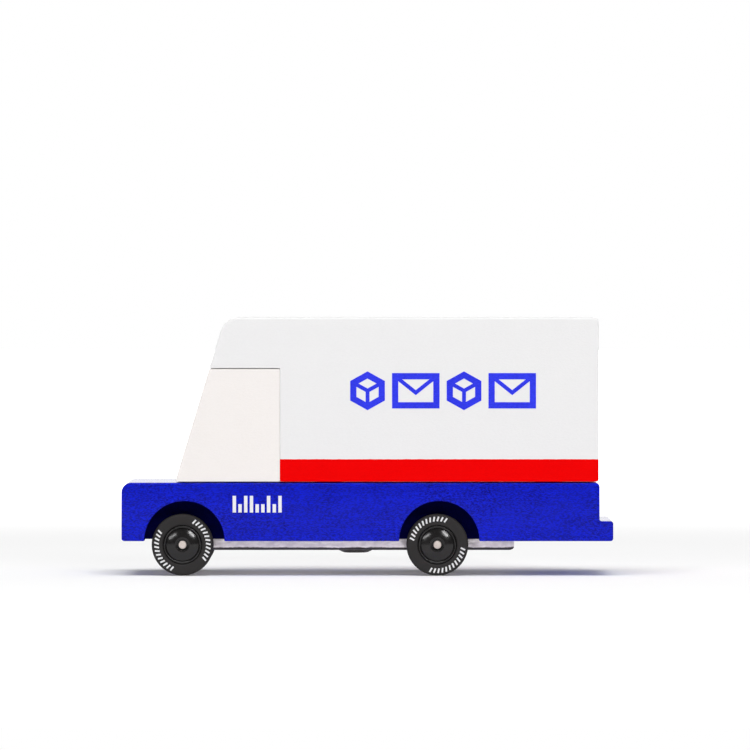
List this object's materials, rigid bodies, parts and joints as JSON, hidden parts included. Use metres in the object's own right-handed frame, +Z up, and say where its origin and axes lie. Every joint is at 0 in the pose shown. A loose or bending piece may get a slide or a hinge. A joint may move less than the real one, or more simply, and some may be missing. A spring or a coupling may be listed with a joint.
{
  "type": "toy mail delivery truck",
  "caption": "Pocket toy mail van: painted wooden lower body, cargo box and cab window block on a cast plate, with rubber-tyred wheels on free-turning steel axles.",
  "frame": {"origin": "on the floor, under the middle of the overall length and width", "axes": "the van drives towards -X, so +X runs from the bonnet to the rear step; its left side is at -Y and its right side at +Y; +Z is up"},
  "size_m": [0.09, 0.036, 0.0472],
  "materials": {
    "blue_painted_wood": "blue paint under a satin clear coat, with the grain's faint ripple showing through",
    "white_painted_wood": "white paint under a satin clear coat, with a red painted band along the foot of the sides",
    "cream_painted_wood": "cream paint under a satin clear coat",
    "bare_beech": "unpainted turned beech, hidden in its holes",
    "cast_plate_metal": "tumbled light grey casting, slightly rough",
    "dark_screw_steel": "blackened steel",
    "bright_axle_steel": "bright drawn steel with cut ends",
    "black_rim_plastic": "glossy moulded black plastic",
    "black_tyre_rubber": null
  },
  "bodies": {
    "body": {"lower_body": "blue_painted_wood", "cargo_box": "white_painted_wood", "cab_window_block": "cream_painted_wood", "front_dowel": "bare_beech", "rear_dowel": "bare_beech", "cab_dowel": "bare_beech", "base_plate": "cast_plate_metal", "plate_front_screw": "dark_screw_steel", "plate_middle_screw": "dark_screw_steel", "plate_rear_screw": "dark_screw_steel"},
    "front_wheelset": {"front_axle": "bright_axle_steel", "front_left_rim": "black_rim_plastic", "front_left_tyre": "black_tyre_rubber", "front_right_rim": "black_rim_plastic", "front_right_tyre": "black_tyre_rubber"},
    "rear_wheelset": {"rear_axle": "bright_axle_steel", "rear_left_rim": "black_rim_plastic", "rear_left_tyre": "black_tyre_rubber", "rear_right_rim": "black_rim_plastic", "rear_right_tyre": "black_tyre_rubber"}
  },
  "joints": [
    {"name": "front_axle_spin", "type": "hinge", "parent": "body", "child": "front_wheelset", "pos_m": [-0.03385, 0, 0.00567], "axis": [0, 1, 0], "continuous": true},
    {"name": "rear_axle_spin", "type": "hinge", "parent": "body", "child": "rear_wheelset", "pos_m": [0.0128, 0, 0.00567], "axis": [0, 1, 0], "continuous": true}
  ]
}
